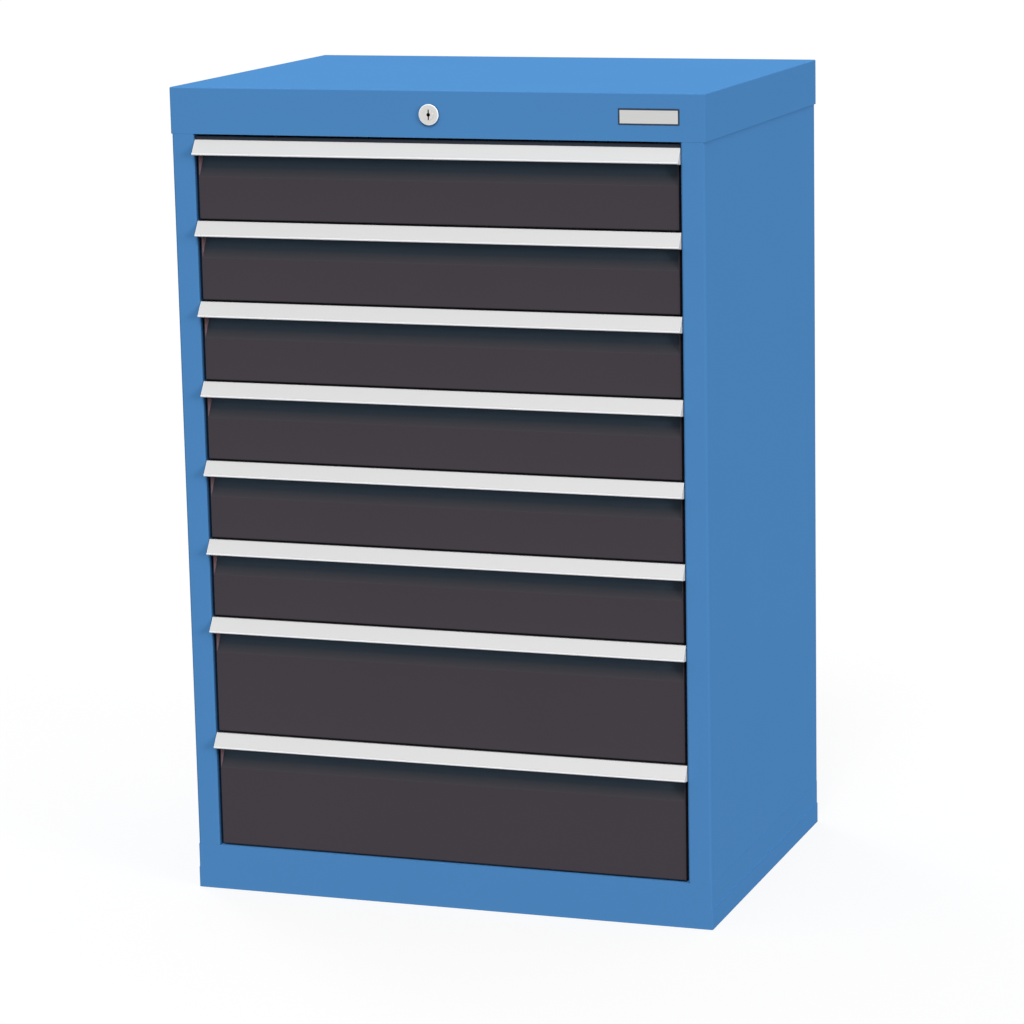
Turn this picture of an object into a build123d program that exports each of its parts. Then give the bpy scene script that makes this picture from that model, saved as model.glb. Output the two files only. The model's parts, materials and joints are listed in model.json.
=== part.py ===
from build123d import *
import math
import os

# Sheet-steel drawer cabinet, in millimetres: +Z up, the front towards -Y, +X to the user's right.
# The origin is on the floor, at the middle of the outline that takes in the handle lips.

# Whole cabinet
CABINET_WIDTH = 684.0
CABINET_DEPTH = 500.0
CABINET_HEIGHT = 1019.0
HANDLE_REACH = 10.0
FRONT_Y = HANDLE_REACH - (CABINET_DEPTH + HANDLE_REACH) / 2
BACK_Y = FRONT_Y + CABINET_DEPTH
HALF_WIDTH = CABINET_WIDTH / 2

# Drawer opening and the stack of drawers, from the top one down
OPENING_BOTTOM = 57.0
OPENING_TOP = 962.0
OPENING_HALF_WIDTH = 311.5
STACK_TOP = 955.0
DRAWER_PITCHES = [100.0] * 6 + [150.0] * 2
TRAVEL = 400.0

# Sheet thicknesses and bends, radii on the middle of the sheet
COVER_SHEET = 1.2
BASE_SHEET = 1.5
SIDE_SHEET = 1.2
FRONT_SHEET = 1.2
TRAY_SHEET = 1.0
POST_SHEET = 1.5
SLIDE_SHEET = 1.4
BEND_RADIUS = 2.0
TIGHT_BEND = 1.3
CORNER_RADIUS = 1.4
SEAM = 0.2
COVER_SEAM = 0.1
CUT = 1.0

# Top cover: a hood whose skirt hangs outside the side panels
COVER_FLANGE = 20.0
COVER_FLANGE_END_GAP = 2.0
SIDE_FACE_X = HALF_WIDTH - COVER_SHEET
PANEL_TOP = 1014.0

# Side panels and the back
STILE_DEPTH = 22.0
STILE_LIP = 12.0
REAR_FLANGE = 20.0
BACK_SHEET = 1.2
BACK_CLEARANCE = 0.3
BACK_PANEL_Y = BACK_Y - COVER_SHEET - BACK_CLEARANCE
BACK_PANEL_HALF_WIDTH = 338.0
BACK_RIVET_ROWS = 8
BACK_RIVET_LOWEST = 90.0
BACK_RIVET_HIGHEST = 931.0
BACK_RIVET_RADIUS = 1.6
BACK_RIVET_HEAD_RADIUS = 3.2
BACK_RIVET_HEAD = 1.1
BACK_RIVET_EDGE = 0.6
BACK_RIVET_TAIL = 1.0
RIVET_PLAY = 0.05

# Base frame with its wider foot band, and the floor sheet on it
BASE_HEIGHT = OPENING_BOTTOM
BASE_HALF_WIDTH = 341.2
BASE_BACK_INSET = 4.0
BASE_BACK_Y = BACK_Y - BASE_BACK_INSET
FOOT_BAND_HEIGHT = 26.0
BASE_FLANGE = 36.0
BASE_TOP_FLANGE = 20.0
FLOOR_HOLE_RADIUS = 5.5
FLOOR_HOLE_INSET = 21.5
FLOOR_SHEET = 1.2
FLOOR_LIP = 12.0

# Front rail behind the top cover's skirt
RAIL_BOTTOM = 963.5
RAIL_TOP = 1010.0
RAIL_FLANGE = 18.0

# Posts that carry the cabinet rails
POST_FACE_X = 312.0
POST_DEPTH = 30.0
FRONT_POST_Y = FRONT_Y + 39.0
REAR_POST_Y = BACK_Y - 66.0
POST_TOP = 1008.0
POST_SLOT_PITCH = 50.0
POST_SLOT_SIZE = (8.0, 12.0)

# Telescopic slides: cabinet rail, middle slide with rollers, drawer runner
SLIDE_HEIGHT = 28.0
SLIDE_ABOVE_PITCH = 50.0
CABINET_RAIL_X = (304.7, POST_FACE_X)
CABINET_RAIL_Y = (FRONT_Y + 27.0, FRONT_Y + 469.0)
RUNNER_FLANGE_X = 299.7
RUNNER_Y = (FRONT_Y + 23.0, FRONT_Y + 444.0)
MIDDLE_PLATE_X = (300.7, 303.7)
MIDDLE_PLATE_Y = (FRONT_Y + 30.0, FRONT_Y + 444.0)
MIDDLE_PLATE_HEIGHT = 26.0
ROLLER_RADIUS = 12.2
ROLLER_BORE = 3.05
ROLLER_PIN = 3.0
INNER_ROLLER_X = (294.0, 300.4)
OUTER_ROLLER_X = (304.0, 310.0)
INNER_ROLLER_YS = (FRONT_Y + 46.0, FRONT_Y + 222.0)
OUTER_ROLLER_YS = (FRONT_Y + 256.0, FRONT_Y + 428.0)
PIN_END = 0.5

# Drawer trays
TRAY_HALF_WIDTH = 292.0
TRAY_FLOOR_ABOVE_PITCH = 8.0
TRAY_TOP_BELOW_PITCH = 14.0
TRAY_INSIDE_DEPTH = TRAVEL
TRAY_HEM_HEIGHT = 8.0
TRAY_HEM = 1.0

# Drawer fronts with the finger recess behind the handle
FRONT_HALF_WIDTH = 307.9
FRONT_SETBACK = 3.0
FRONT_BOX_DEPTH = 18.0
FRONT_GAP = 1.9
BOTTOM_GAP = 2.0
HANDLE_DROP = 18.2
RECESS_DEPTH = 15.0
RECESS_BELOW_LIP = 27.0
FRONT_TOP_LIP = 11.0
FRONT_RETURN = 30.0
RECESS_BEND = 3.0
CHEEK_SHEET = 1.0

# Handle strips
HANDLE_HALF_WIDTH = 311.0
HANDLE_LEG = 1.6
HANDLE_LEG_DROP = 11.5
HANDLE_PLATE = 1.8
HANDLE_BEAD_RADIUS = 1.4
HANDLE_END_WALL = 1.5
HANDLE_END_BELOW_LIP = 1.5

# Name plate, left bare, in a shallow pressed pocket
PLATE_X = (234.9, 311.0)
PLATE_Z = (980.9, 1000.9)
PLATE_POCKET_DEPTH = 0.7
PLATE_THICKNESS = 0.6
PLATE_MARGIN = 0.5
PLATE_CORNER = 1.2

# Cylinder lock
LOCK_X = -2.4
LOCK_Z = 990.0
ROSETTE_RADIUS = 12.8
ROSETTE_HEIGHT = 3.0
ROSETTE_EDGE = 1.2
BARREL_RADIUS = 9.5
BARREL_LENGTH = 22.0
BARREL_HOLE_PLAY = 0.2
CORE_RADIUS = 6.6
CORE_PLAY = 0.08
CORE_FACE = 0.3
CORE_LENGTH = 29.0
KEY_SLOT_WIDTH = 1.6
KEY_SLOT_HEIGHT = 12.0
KEY_HOLE_RADIUS = 2.3
KEY_DEPTH = 16.0
NUT_PLAY = 0.05
NUT_RADIUS = 14.0
NUT_THICKNESS = 4.0

# Lock linkage: the cam pin moves the slider, and its slanted slot lifts the upright lock bar
KEY_TURN = 90.0
CAM_RADIUS = 8.0
CAM_PIN_RADIUS = 2.5
CAM_PIN_LENGTH = 6.0
CAM_TIP_WALL = 1.5
CAM_THICKNESS = 2.5
SLIDER_Y = (FRONT_Y + 31.0, FRONT_Y + 33.0)
SLIDER_Z = (969.0, 995.0)
SLIDER_ARM_Z = (971.0, 985.0)
SLIDER_X = (-24.0, 335.0)
SLIDER_HEAD_X = (-24.0, 18.0)
CAM_SLOT_PLAY = 0.7
SLIDER_STROKE = 2 * CAM_RADIUS * math.sin(math.radians(KEY_TURN / 2))
BAR_STROKE = SLIDER_STROKE / 2
BAR_X = (314.0, 330.0)
BAR_Y = (FRONT_Y + 34.5, FRONT_Y + 36.5)
BAR_Z = (66.0, 986.0)
BAR_PIN_RADIUS = 2.0
BAR_PIN_X = 318.0
BAR_PIN_Z = 975.2
BAR_PIN_END = 1.0
BAR_SLOT_PLAY = 0.5
NOSE_X = 306.5
NOSE_ABOVE_PITCH = 14.0
NOSE_HEIGHT = 12.0
GUIDE_PLAY = 0.5
GUIDE_THICKNESS = 3.0
SLIDER_GUIDE_WALL = 3.0
BAR_GUIDE_X = (312.5, 333.0)
BAR_GUIDE_FRONT = 2.5
BAR_GUIDE_ZS = (130.0, 527.0, 942.0)
SLIDER_GUIDE_XS = (70.0, 270.0)


def block(x, y, z):
    """Box between two x, two y and two z values."""
    size = Box(x[1] - x[0], y[1] - y[0], z[1] - z[0], align=(Align.MIN, Align.MIN, Align.MIN))
    return Pos(x[0], y[0], z[0]) * size


def rod(radius, start, end):
    """Cylinder between two points."""
    axis = Vector(*end) - Vector(*start)
    circle = Plane(origin=start, z_dir=axis) * Circle(radius)
    return extrude(circle, amount=axis.length)


def sheet(path, thickness, radius):
    """Outline of a folded sheet that follows a path through its middle."""
    return trace(FilletPolyline(*path, radius=radius), thickness)


def along_x(section, x):
    """Solid of a Y-Z section between two x values."""
    return extrude(Plane.YZ.offset(x[0]) * section, amount=x[1] - x[0])


def along_y(section, y):
    """Solid of an X-Z section between two y values."""
    return extrude(Plane.XZ.offset(-y[1]) * section, amount=y[1] - y[0])


def along_z(section, z):
    """Solid of an X-Y section between two z values."""
    return extrude(Plane.XY.offset(z[0]) * section, amount=z[1] - z[0])


def mirrored(shape):
    """The same shape on the other side of the cabinet."""
    return mirror(shape, about=Plane.YZ)


def both_sides(shapes):
    """Shapes of the right side and their mirror images, as one group of solids."""
    return Compound(children=[*shapes, *[mirrored(shape) for shape in shapes]])


def group(shapes):
    """Separate solids that share one node."""
    return Compound(children=list(shapes))


def drawer_levels():
    """Bottom and top of each drawer's share of the stack, from the top drawer down."""
    levels = []
    top = STACK_TOP
    for pitch in DRAWER_PITCHES:
        levels.append((top - pitch, top))
        top -= pitch
    return levels


def name_plate_outline(margin):
    """Rounded outline of the name plate, seen from the front."""
    width = PLATE_X[1] - PLATE_X[0] - 2 * margin
    height = PLATE_Z[1] - PLATE_Z[0] - 2 * margin
    return Pos(sum(PLATE_X) / 2, sum(PLATE_Z) / 2) * RectangleRounded(width, height, PLATE_CORNER)


def rounded_hood(half_width, y, top, bottom, radius):
    """Block with rounded upright edges and a rounded top."""
    body = block((-half_width, half_width), y, (bottom, top))
    upright = body.edges().filter_by(Axis.Z)
    above = body.faces().sort_by(Axis.Z)[-1].edges()
    return fillet([*upright, *above], radius)


def make_top_cover():
    """Hood with its skirt, a stiffening flange, the lock hole and the name plate's pocket."""
    skirt_bottom = OPENING_TOP
    outside = rounded_hood(HALF_WIDTH, (FRONT_Y, BACK_Y), CABINET_HEIGHT, skirt_bottom, CORNER_RADIUS)
    inside_y = (FRONT_Y + COVER_SHEET, BACK_Y - COVER_SHEET)
    inside_top = CABINET_HEIGHT - COVER_SHEET
    inside_radius = CORNER_RADIUS - COVER_SHEET
    inside = rounded_hood(SIDE_FACE_X, inside_y, inside_top, skirt_bottom, inside_radius)
    flange_y = (FRONT_Y + COVER_SHEET / 2, FRONT_Y + COVER_FLANGE)
    flange_x = SIDE_FACE_X - COVER_FLANGE_END_GAP
    flange = block((-flange_x, flange_x), flange_y, (skirt_bottom, skirt_bottom + COVER_SHEET))
    cover = outside - inside + flange
    hole_radius = BARREL_RADIUS + BARREL_HOLE_PLAY
    lock_hole = rod(hole_radius, lock_point(FRONT_Y - CUT), lock_point(FRONT_Y + COVER_SHEET + CUT))
    pocket = along_y(name_plate_outline(0), (FRONT_Y - CUT, FRONT_Y + PLATE_POCKET_DEPTH))
    return cover - lock_hole - pocket


def make_name_plate():
    """Bare plate that lies in the cover's pocket."""
    bottom = FRONT_Y + PLATE_POCKET_DEPTH
    return along_y(name_plate_outline(PLATE_MARGIN), (bottom - PLATE_THICKNESS, bottom))


def bar_nose_level(level):
    """Bottom and top of a lock nose beside one drawer."""
    bottom = level[0] + NOSE_ABOVE_PITCH
    return bottom, bottom + NOSE_HEIGHT


def make_right_side_panel():
    """Side sheet folded to the front stile at one end and to the rear flange at the other."""
    half = SIDE_SHEET / 2
    side_x = SIDE_FACE_X - half
    front_y = FRONT_Y + half
    rear_y = BACK_PANEL_Y - BACK_SHEET - half
    stile_x = OPENING_HALF_WIDTH + half
    path = [
        (SIDE_FACE_X - REAR_FLANGE, rear_y),
        (side_x, rear_y),
        (side_x, front_y),
        (stile_x, front_y),
        (stile_x, FRONT_Y + STILE_DEPTH - half),
        (stile_x + STILE_LIP, FRONT_Y + STILE_DEPTH - half),
    ]
    panel = along_z(sheet(path, SIDE_SHEET, BEND_RADIUS), (OPENING_BOTTOM, PANEL_TOP))
    above = (OPENING_TOP - COVER_SEAM, PANEL_TOP + CUT)
    behind_skirt = block((0, HALF_WIDTH), (FRONT_Y - CUT, FRONT_Y + COVER_SHEET + BEND_RADIUS), above)
    folds = block((0, SIDE_FACE_X - BEND_RADIUS), (FRONT_Y - CUT, FRONT_Y + STILE_DEPTH + CUT), above)
    panel = panel - behind_skirt - folds
    rivet_holes = group(rivet_hole(x, z) for x, z in rivet_places() if x > 0)
    return panel - rivet_holes


def rivet_places():
    """X and Z of the rivets that hold the back panel to the side panels."""
    x = SIDE_FACE_X - REAR_FLANGE / 2
    step = (BACK_RIVET_HIGHEST - BACK_RIVET_LOWEST) / (BACK_RIVET_ROWS - 1)
    heights = [BACK_RIVET_LOWEST + row * step for row in range(BACK_RIVET_ROWS)]
    return [(side * x, z) for side in (-1, 1) for z in heights]


def rivet_hole(x, z):
    """Drill through the back panel and the flange in front of it."""
    radius = BACK_RIVET_RADIUS + RIVET_PLAY
    start_y = BACK_PANEL_Y - BACK_SHEET - SIDE_SHEET - CUT
    return rod(radius, (x, start_y, z), (x, BACK_PANEL_Y + CUT, z))


def make_back_panel():
    """Flat rear wall with its rivet holes."""
    x = (-BACK_PANEL_HALF_WIDTH, BACK_PANEL_HALF_WIDTH)
    panel = block(x, (BACK_PANEL_Y - BACK_SHEET, BACK_PANEL_Y), (OPENING_BOTTOM, PANEL_TOP))
    return panel - group(rivet_hole(rivet_x, z) for rivet_x, z in rivet_places())


def make_back_rivets():
    """Blind rivets: a shank through both sheets and a flat head outside."""
    shank_y = BACK_PANEL_Y - BACK_SHEET - SIDE_SHEET - BACK_RIVET_TAIL
    rivets = []
    for x, z in rivet_places():
        shank = rod(BACK_RIVET_RADIUS, (x, shank_y, z), (x, BACK_PANEL_Y, z))
        head = rod(BACK_RIVET_HEAD_RADIUS, (x, BACK_PANEL_Y, z), (x, BACK_PANEL_Y + BACK_RIVET_HEAD, z))
        rim = head.edges().filter_by(GeomType.CIRCLE).sort_by(Axis.Y)[-1]
        rivets.append(fillet(rim, BACK_RIVET_EDGE) + shank)
    return group(rivets)


def make_base_frame():
    """Welded ring of folded sheet, with a floor flange, a top flange and a wider foot band."""
    y = (FRONT_Y, BASE_BACK_Y)
    walls = block((-BASE_HALF_WIDTH, BASE_HALF_WIDTH), y, (0, BASE_HEIGHT))
    foot = block((-HALF_WIDTH, HALF_WIDTH), y, (0, FOOT_BAND_HEIGHT))
    walls = fillet(walls.edges().filter_by(Axis.Z), CORNER_RADIUS)
    foot = fillet(foot.edges().filter_by(Axis.Z), CORNER_RADIUS)
    inside_x = BASE_HALF_WIDTH - BASE_SHEET
    inside_y = (FRONT_Y + BASE_SHEET, BASE_BACK_Y - BASE_SHEET)
    middle = block((-inside_x, inside_x), inside_y, (BASE_SHEET, BASE_HEIGHT - BASE_SHEET))
    well_x = HALF_WIDTH - BASE_FLANGE
    well_y = (FRONT_Y + BASE_FLANGE, BASE_BACK_Y - BASE_FLANGE)
    well = block((-well_x, well_x), well_y, (-CUT, BASE_HEIGHT / 2))
    mouth_x = BASE_HALF_WIDTH - BASE_TOP_FLANGE
    mouth_y = (FRONT_Y + BASE_TOP_FLANGE, BASE_BACK_Y - BASE_TOP_FLANGE)
    mouth = block((-mouth_x, mouth_x), mouth_y, (BASE_HEIGHT / 2, BASE_HEIGHT + CUT))
    frame = walls + foot - middle - well - mouth
    holes = []
    for x in (-HALF_WIDTH + FLOOR_HOLE_INSET, HALF_WIDTH - FLOOR_HOLE_INSET):
        for hole_y in (FRONT_Y + FLOOR_HOLE_INSET, BASE_BACK_Y - FLOOR_HOLE_INSET):
            holes.append(rod(FLOOR_HOLE_RADIUS, (x, hole_y, -CUT), (x, hole_y, BASE_SHEET + CUT)))
    return frame - group(holes)


def make_bottom_panel():
    """Floor sheet under the lowest drawer, its edges folded down, below the base's top flange."""
    half_x = BASE_HALF_WIDTH - BASE_SHEET
    y = (FRONT_Y + BASE_SHEET, BASE_BACK_Y - BASE_SHEET)
    top = BASE_HEIGHT - BASE_SHEET
    tray = block((-half_x, half_x), y, (top - FLOOR_LIP, top))
    inside_y = (y[0] + FLOOR_SHEET, y[1] - FLOOR_SHEET)
    inside_x = half_x - FLOOR_SHEET
    return tray - block((-inside_x, inside_x), inside_y, (top - FLOOR_LIP - CUT, top - FLOOR_SHEET))


def slider_guide(x, web_y):
    """Strap on the front rail's web that the lock slider runs through."""
    strap_y = (web_y, SLIDER_Y[1] + SLIDER_GUIDE_WALL)
    strap_z = (SLIDER_ARM_Z[0] - SLIDER_GUIDE_WALL, SLIDER_ARM_Z[1] + SLIDER_GUIDE_WALL)
    strap = block((x, x + GUIDE_THICKNESS), strap_y, strap_z)
    window_y = (SLIDER_Y[0] - GUIDE_PLAY, SLIDER_Y[1] + GUIDE_PLAY)
    window_z = (SLIDER_ARM_Z[0] - GUIDE_PLAY, SLIDER_ARM_Z[1] + GUIDE_PLAY)
    return strap - block((x - CUT, x + GUIDE_THICKNESS + CUT), window_y, window_z)


def make_top_front_rail():
    """Channel between the side panels that carries the lock and guides its slider."""
    web_y = FRONT_Y + COVER_SHEET + SEAM + SIDE_SHEET / 2
    end_y = web_y + RAIL_FLANGE
    z = (RAIL_BOTTOM + SIDE_SHEET / 2, RAIL_TOP - SIDE_SHEET / 2)
    path = [(end_y, z[0]), (web_y, z[0]), (web_y, z[1]), (end_y, z[1])]
    half_x = SIDE_FACE_X - SIDE_SHEET
    rail = along_x(sheet(path, SIDE_SHEET, BEND_RADIUS), (-half_x, half_x))
    for x in SLIDER_GUIDE_XS:
        rail = rail + slider_guide(x, web_y)
    hole_radius = BARREL_RADIUS + BARREL_HOLE_PLAY
    return rail - rod(hole_radius, lock_point(web_y - SIDE_SHEET), lock_point(web_y + SIDE_SHEET))


def make_post(front_y):
    """Right-hand C-section post with a row of hooking slots."""
    half = POST_SHEET / 2
    outer_x = SIDE_FACE_X - SIDE_SHEET
    web_x = POST_FACE_X + half
    y = (front_y + half, front_y + POST_DEPTH - half)
    path = [(outer_x, y[0]), (web_x, y[0]), (web_x, y[1]), (outer_x, y[1])]
    post = along_z(sheet(path, POST_SHEET, BEND_RADIUS), (OPENING_BOTTOM, POST_TOP))
    middle_y = front_y + POST_DEPTH / 2
    slot_x = (POST_FACE_X - CUT, POST_FACE_X + POST_SHEET + CUT)
    slot_y = (middle_y - POST_SLOT_SIZE[0] / 2, middle_y + POST_SLOT_SIZE[0] / 2)
    slots = []
    slot_bottom = OPENING_BOTTOM + POST_SLOT_PITCH / 2
    while slot_bottom + POST_SLOT_SIZE[1] < POST_TOP:
        slot_z = (slot_bottom, slot_bottom + POST_SLOT_SIZE[1])
        slots.append(block(slot_x, slot_y, slot_z))
        slot_bottom += POST_SLOT_PITCH
    return post - group(slots)


def make_right_posts():
    """Front and rear post of the right side."""
    return group([make_post(FRONT_POST_Y), make_post(REAR_POST_Y)])


def channel(web_x, flange_x, middle_z):
    """C-section of a slide rail: the web at one x, both flanges reaching to the other."""
    half_height = (SLIDE_HEIGHT - SLIDE_SHEET) / 2
    inward = math.copysign(SLIDE_SHEET / 2, flange_x - web_x)
    path = [
        (flange_x, middle_z + half_height),
        (web_x + inward, middle_z + half_height),
        (web_x + inward, middle_z - half_height),
        (flange_x, middle_z - half_height),
    ]
    return sheet(path, SLIDE_SHEET, TIGHT_BEND)


def make_right_cabinet_rails():
    """Fixed rails of the right side, open towards the drawers, one for each drawer."""
    rails = []
    for level in drawer_levels():
        section = channel(CABINET_RAIL_X[1], CABINET_RAIL_X[0], level[0] + SLIDE_ABOVE_PITCH)
        rails.append(along_y(section, CABINET_RAIL_Y))
    return group(rails)


def make_runners(level):
    """Drawer runners of both sides, open outwards, on the tray's walls."""
    section = channel(TRAY_HALF_WIDTH, RUNNER_FLANGE_X, level[0] + SLIDE_ABOVE_PITCH)
    return both_sides([along_y(section, RUNNER_Y)])


def roller(x, y, z):
    """Guide roller with its bore."""
    start = (x[0], y, z)
    end = (x[1], y, z)
    return rod(ROLLER_RADIUS, start, end) - rod(ROLLER_BORE, start, end)


def make_middle_slides(level):
    """Middle slides of both sides: a plate, two rollers in the runner and two in the cabinet rail."""
    z = level[0] + SLIDE_ABOVE_PITCH
    plate_z = (z - MIDDLE_PLATE_HEIGHT / 2, z + MIDDLE_PLATE_HEIGHT / 2)
    plate = block(MIDDLE_PLATE_X, MIDDLE_PLATE_Y, plate_z)
    rollers = []
    for y in INNER_ROLLER_YS:
        plate = plate + rod(ROLLER_PIN, (INNER_ROLLER_X[0] + PIN_END, y, z), (MIDDLE_PLATE_X[0], y, z))
        rollers.append(roller(INNER_ROLLER_X, y, z))
    for y in OUTER_ROLLER_YS:
        plate = plate + rod(ROLLER_PIN, (MIDDLE_PLATE_X[1], y, z), (OUTER_ROLLER_X[1] - PIN_END, y, z))
        rollers.append(roller(OUTER_ROLLER_X, y, z))
    return both_sides([plate, *rollers])


def make_tray(level):
    """Open drawer tray with a hem around its rim."""
    floor = level[0] + TRAY_FLOOR_ABOVE_PITCH
    rim = level[1] - TRAY_TOP_BELOW_PITCH
    front = FRONT_Y + FRONT_SETBACK + FRONT_BOX_DEPTH
    back = front + TRAY_INSIDE_DEPTH + 2 * TRAY_SHEET
    walls = block((-TRAY_HALF_WIDTH, TRAY_HALF_WIDTH), (front, back), (floor, rim))
    hem_x = TRAY_HALF_WIDTH + TRAY_HEM
    hem = block((-hem_x, hem_x), (front, back + TRAY_HEM), (rim - TRAY_HEM_HEIGHT, rim))
    hem = fillet(hem.edges().filter_by(Axis.Z).sort_by(Axis.Y)[-2:], BEND_RADIUS)
    inside_x = TRAY_HALF_WIDTH - TRAY_SHEET
    inside_y = (front + TRAY_SHEET, back - TRAY_SHEET)
    inside = block((-inside_x, inside_x), inside_y, (floor + TRAY_SHEET, rim + CUT))
    return walls + hem - inside


def front_bottom(level):
    """Lower edge of a drawer front."""
    return max(level[0] + FRONT_GAP, OPENING_BOTTOM + BOTTOM_GAP)


def cheek_outline(y, z):
    """Y-Z outline of a drawer front's end, rounded in front like the folded sheet."""
    outline = Pos(sum(y) / 2, sum(z) / 2) * Rectangle(y[1] - y[0], z[1] - z[0])
    front_corners = outline.vertices().sort_by(Axis.X)[:2]
    return fillet(front_corners, TIGHT_BEND + FRONT_SHEET / 2)


def make_front(level):
    """Drawer front: a folded sheet with the finger recess, and a cheek at each end."""
    half = FRONT_SHEET / 2
    bottom = front_bottom(level)
    top = level[1]
    face = FRONT_Y + FRONT_SETBACK
    rear = face + FRONT_BOX_DEPTH
    recess = face + RECESS_DEPTH
    lip = top - HANDLE_DROP
    path = [
        (rear - half, bottom + FRONT_RETURN),
        (rear - half, bottom + half),
        (face + half, bottom + half),
        (face + half, lip - RECESS_BELOW_LIP),
        (recess + half, lip),
        (recess + half, top - half),
        (face + half, top - half),
        (face + half, top - FRONT_TOP_LIP),
    ]
    bends = [TIGHT_BEND, TIGHT_BEND, RECESS_BEND, RECESS_BEND, TIGHT_BEND, TIGHT_BEND]
    front = along_x(sheet(path, FRONT_SHEET, bends), (-FRONT_HALF_WIDTH, FRONT_HALF_WIDTH))
    inner_x = FRONT_HALF_WIDTH - CHEEK_SHEET
    cheek = cheek_outline((face, rear), (bottom, top))
    for x in ((-FRONT_HALF_WIDTH, -inner_x), (inner_x, FRONT_HALF_WIDTH)):
        front = front + along_x(cheek, x)
    return front


def make_handle(level):
    """Handle strip: a leg on the front's lip and a slanted plate that ends in a bead, with closed ends."""
    top = level[1]
    back = FRONT_Y + FRONT_SETBACK
    leg_middle = (back - HANDLE_LEG / 2, top - HANDLE_LEG_DROP / 2)
    leg = Pos(*leg_middle) * Rectangle(HANDLE_LEG, HANDLE_LEG_DROP)
    bead_y = FRONT_Y - HANDLE_REACH + HANDLE_BEAD_RADIUS
    bead_z = top - HANDLE_DROP + HANDLE_BEAD_RADIUS
    upper = (back - HANDLE_PLATE / 2, top - HANDLE_PLATE / 2)
    plate = trace(Line(upper, (bead_y, bead_z)), HANDLE_PLATE)
    root = Pos(*upper) * Circle(HANDLE_PLATE / 2)
    bead = Pos(bead_y, bead_z) * Circle(HANDLE_BEAD_RADIUS)
    handle = along_x(leg + plate + root + bead, (-HANDLE_HALF_WIDTH, HANDLE_HALF_WIDTH))
    lip = (bead_y, top - HANDLE_DROP)
    heel = (back, top - HANDLE_DROP - HANDLE_END_BELOW_LIP)
    shoulder = (back, top - HANDLE_PLATE / 2)
    end_wall = make_face(Polyline(upper, (bead_y, bead_z), lip, heel, shoulder, close=True))
    inner_x = HANDLE_HALF_WIDTH - HANDLE_END_WALL
    for x in ((-HANDLE_HALF_WIDTH, -inner_x), (inner_x, HANDLE_HALF_WIDTH)):
        handle = handle + along_x(end_wall, x)
    return handle


def lock_point(y):
    """Point on the lock's axis."""
    return LOCK_X, y, LOCK_Z


def make_lock_housing():
    """Rosette in front of the cover and barrel behind it, bored for the core."""
    rosette = rod(ROSETTE_RADIUS, lock_point(FRONT_Y), lock_point(FRONT_Y - ROSETTE_HEIGHT))
    rim = rosette.edges().filter_by(GeomType.CIRCLE).sort_by(Axis.Y)[0]
    rosette = fillet(rim, ROSETTE_EDGE)
    barrel = rod(BARREL_RADIUS, lock_point(FRONT_Y), lock_point(FRONT_Y + BARREL_LENGTH))
    bore_start = lock_point(FRONT_Y - ROSETTE_HEIGHT - CUT)
    bore = rod(CORE_RADIUS + CORE_PLAY, bore_start, lock_point(FRONT_Y + BARREL_LENGTH + CUT))
    return rosette + barrel - bore


def make_lock_nut():
    """Hexagon nut that clamps the lock to the front rail."""
    front = FRONT_Y + COVER_SHEET + SEAM + SIDE_SHEET
    hexagon = Pos(LOCK_X, LOCK_Z) * RegularPolygon(NUT_RADIUS, 6)
    hole = Pos(LOCK_X, LOCK_Z) * Circle(BARREL_RADIUS + NUT_PLAY)
    return along_y(hexagon - hole, (front, front + NUT_THICKNESS))


def make_lock_core():
    """Turning core with its key slot."""
    face = FRONT_Y - ROSETTE_HEIGHT - CORE_FACE
    core = rod(CORE_RADIUS, lock_point(face), lock_point(face + CORE_LENGTH))
    slot_x = (LOCK_X - KEY_SLOT_WIDTH / 2, LOCK_X + KEY_SLOT_WIDTH / 2)
    slot_z = (LOCK_Z - KEY_SLOT_HEIGHT / 2, LOCK_Z + KEY_SLOT_HEIGHT / 2)
    slot = block(slot_x, (face - CUT, face + KEY_DEPTH), slot_z)
    return core - slot - rod(KEY_HOLE_RADIUS, lock_point(face - CUT), lock_point(face + KEY_DEPTH))


def cam_pin_place():
    """X and Z of the cam pin before the key turns: half the turn from straight down, towards +X."""
    angle = math.radians(KEY_TURN / 2)
    return LOCK_X + CAM_RADIUS * math.sin(angle), LOCK_Z - CAM_RADIUS * math.cos(angle)


def make_lock_cam():
    """Arm on the core's end with a pin for the slider."""
    front = FRONT_Y - ROSETTE_HEIGHT - CORE_FACE + CORE_LENGTH
    rear = front + CAM_THICKNESS
    pin_x, pin_z = cam_pin_place()
    arm = rod(CORE_RADIUS, lock_point(front), lock_point(rear))
    tip = rod(CAM_PIN_RADIUS + CAM_TIP_WALL, (pin_x, front, pin_z), (pin_x, rear, pin_z))
    pin = rod(CAM_PIN_RADIUS, (pin_x, rear, pin_z), (pin_x, rear + CAM_PIN_LENGTH, pin_z))
    return arm + tip + pin


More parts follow.
